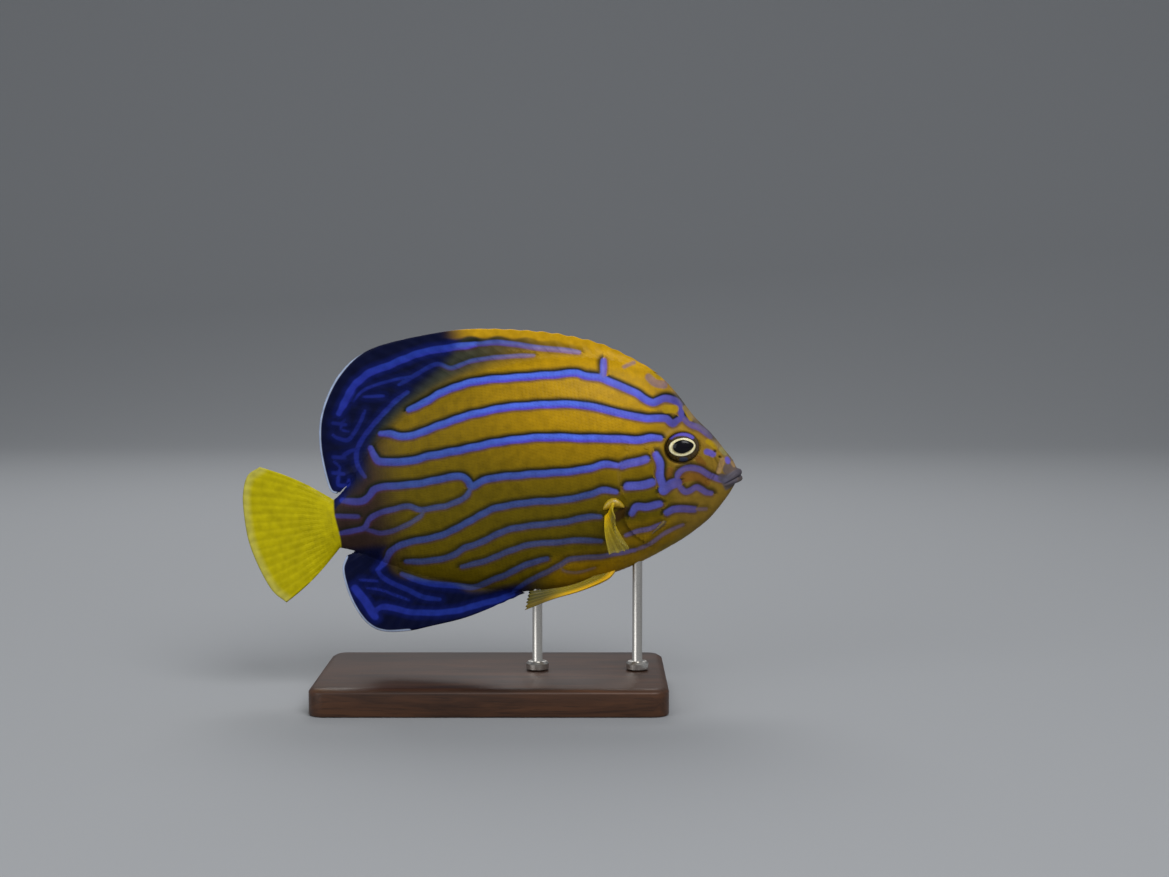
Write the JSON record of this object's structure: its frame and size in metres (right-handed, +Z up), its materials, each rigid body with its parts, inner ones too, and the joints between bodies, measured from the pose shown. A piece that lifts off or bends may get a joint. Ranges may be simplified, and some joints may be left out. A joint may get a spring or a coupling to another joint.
{
  "type": "bluestriped angelfish model on a display stand",
  "caption": "Life-size still model of a deep-bodied reef angelfish, nose slightly up, carried on rods over a flat display base.",
  "frame": {"origin": "centre of the stand base's underside", "axes": "+X towards the fish's snout, +Y towards its left side, +Z up"},
  "size_m": [0.1499, 0.062, 0.1108],
  "materials": {
    "head_skin": "smooth scaled skin, orange-brown with violet marks",
    "flank_skin": "fine scales, ochre gold with lengthwise blue stripes",
    "median_fin_skin": "scaled fin, near-black navy with blue lines and a pale margin",
    "yellow_fin": "thin rayed fin, clear yellow",
    "pelvic_fin": "thin rayed fin, orange-yellow spine and olive web",
    "eye": "wet black pupil in a cream ring",
    "stand_wood": "oiled dark walnut",
    "stand_metal": "fine-brushed stainless steel"
  },
  "bodies": {
    "root": {"head": "head_skin", "trunk": "flank_skin", "tail_stalk": "flank_skin", "dorsal_fin": "median_fin_skin", "anal_fin": "median_fin_skin", "caudal_fin": "yellow_fin", "pectoral_fin_left": "yellow_fin", "pectoral_fin_right": "yellow_fin", "pelvic_fin_left": "pelvic_fin", "pelvic_fin_right": "pelvic_fin", "eye_left": "eye", "eye_right": "eye", "stand_base": "stand_wood", "stand_rod_front": "stand_metal", "stand_rod_rear": "stand_metal"}
  },
  "joints": []
}
